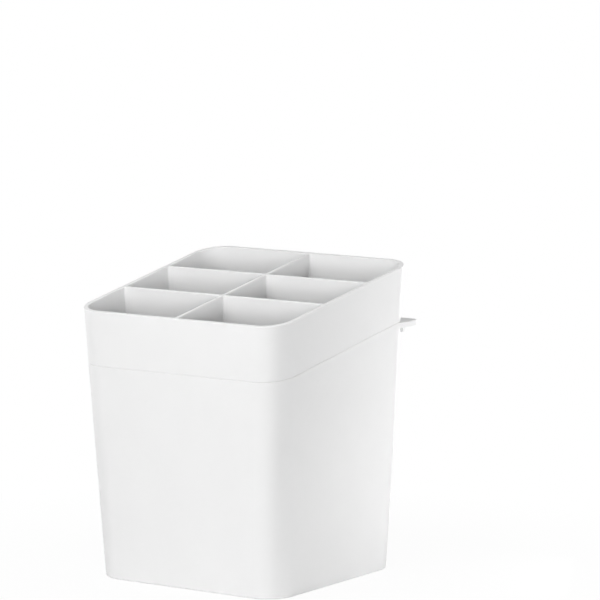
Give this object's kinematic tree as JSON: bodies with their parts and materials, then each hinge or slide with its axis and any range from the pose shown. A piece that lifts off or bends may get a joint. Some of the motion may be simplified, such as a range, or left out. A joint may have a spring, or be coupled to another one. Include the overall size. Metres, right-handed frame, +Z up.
{
  "type": "utensil holder",
  "caption": "Tapered kitchen utensil holder: bin with a rear hook shelf and a lift-out divider insert with a slanted rim.",
  "frame": {"origin": "on the ground under the middle of the overall box, the rear shelf included", "axes": "+Z up, the low front side faces -Y, the hook shelf faces +Y, +X to the right seen from the front"},
  "size_m": [0.154, 0.1541, 0.1908],
  "materials": {
    "bin": "white polypropylene, fine satin moulded surface",
    "insert": "white polypropylene, fine satin moulded surface"
  },
  "bodies": {
    "bin": {"holder_bin": "bin"},
    "insert": {"divider_insert": "insert"}
  },
  "joints": [
    {"name": "insert_lift", "type": "slide", "parent": "bin", "child": "insert", "axis": [0, 0, 1], "range_m": [0, 0.045]}
  ]
}
